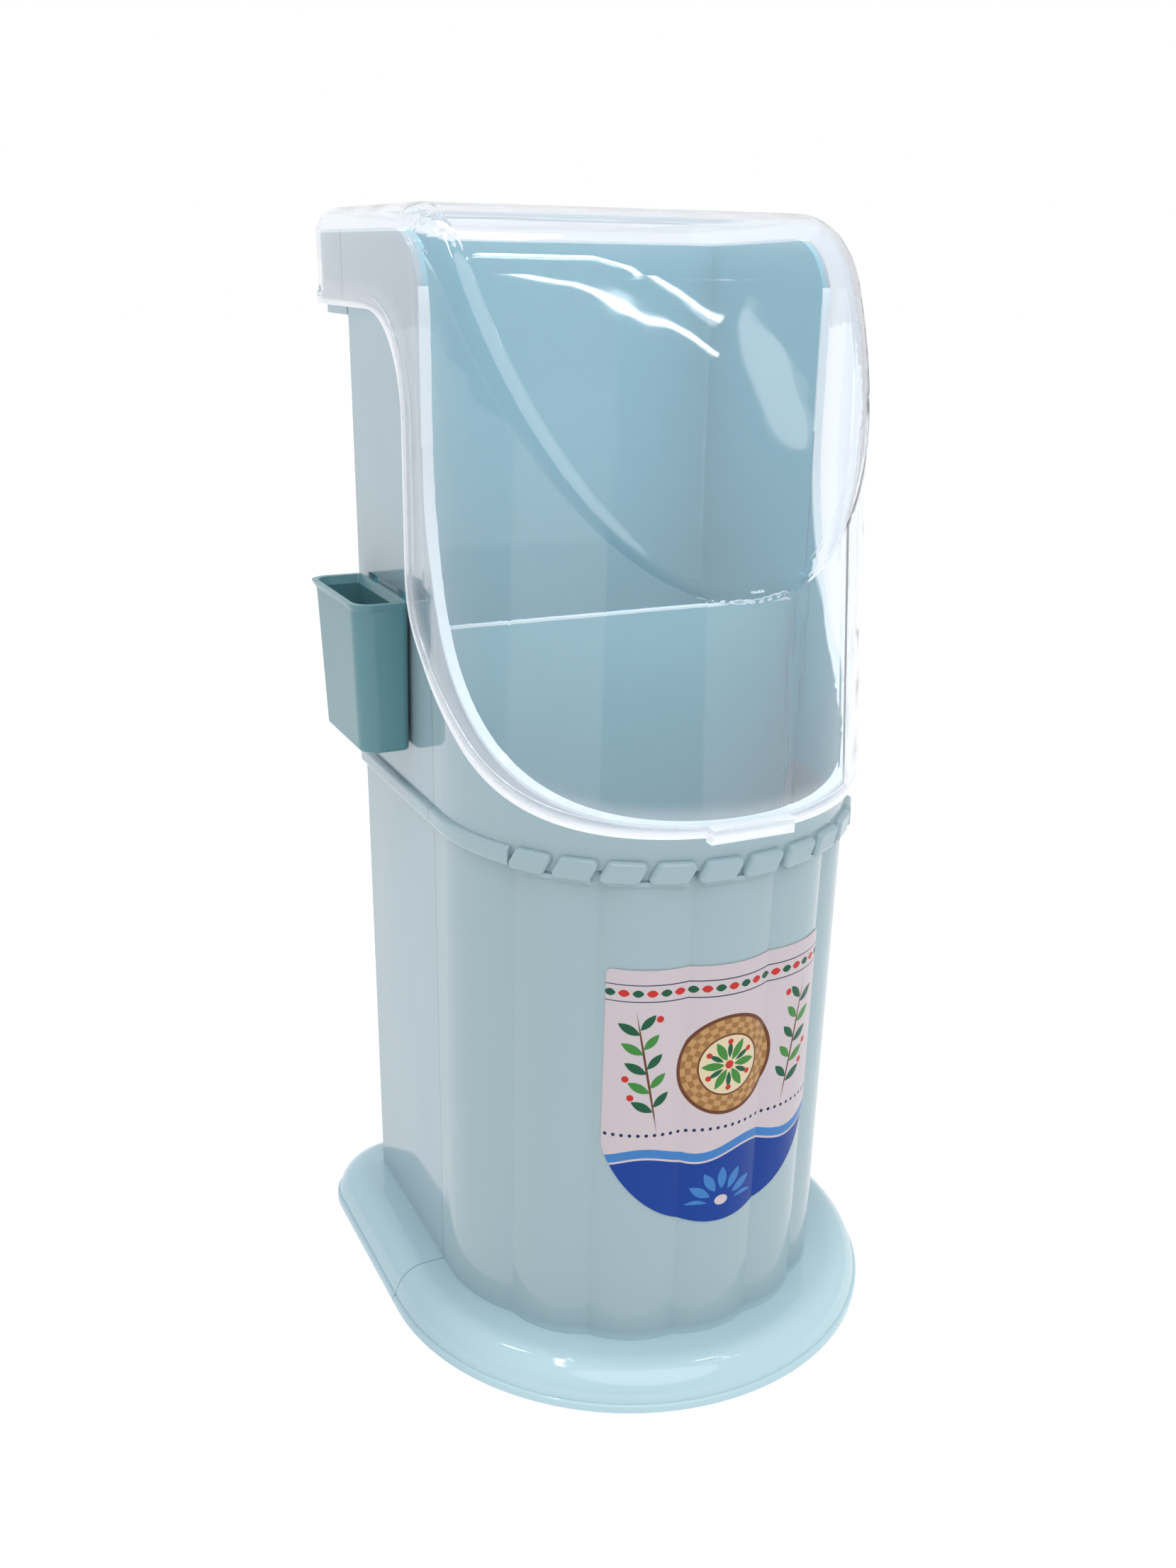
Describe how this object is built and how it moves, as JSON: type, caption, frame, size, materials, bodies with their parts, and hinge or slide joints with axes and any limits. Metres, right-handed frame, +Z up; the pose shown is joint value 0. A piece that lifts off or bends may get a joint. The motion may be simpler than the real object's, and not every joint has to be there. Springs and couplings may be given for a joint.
{
  "type": "chopstick holder with flip lid",
  "caption": "Tall countertop holder for chopsticks and cutlery with a flat back, fluted half-round front, clear flip-up hood, inner divider and a small hung side pocket.",
  "frame": {"origin": "on the table under the middle of the seam plane between the front and rear shells", "axes": "+Z up, -Y towards the half-round front, +X to the right when looking at the front"},
  "size_m": [0.1457, 0.1621, 0.3015],
  "materials": {
    "mint_shell": "glossy moulded polypropylene, pale mint",
    "mint_inside": "satin moulded polypropylene, pale mint",
    "clear_lid": "clear glossy styrene",
    "teal_pocket": "semi-gloss polypropylene, teal",
    "sticker": "printed film"
  },
  "bodies": {
    "body": {"rear_shell": "mint_shell", "front_shell": "mint_shell", "base_pan": "mint_inside", "label": "sticker"},
    "insert": {"drain_grate": "mint_inside", "divider": "mint_inside"},
    "lid": {"lid": "clear_lid"},
    "pocket": {"pocket": "teal_pocket"}
  },
  "joints": [
    {"name": "lid_flip", "type": "hinge", "parent": "body", "child": "lid", "pos_m": [0, 0.0808, 0.2794], "axis": [-1, 0, 0], "range_deg": [0, 120]},
    {"name": "insert_lift", "type": "slide", "parent": "body", "child": "insert", "axis": [0, 0, 1], "range_m": [0, 0.08]},
    {"name": "pocket_lift", "type": "slide", "parent": "body", "child": "pocket", "axis": [0, 0, 1], "range_m": [0, 0.008]}
  ]
}
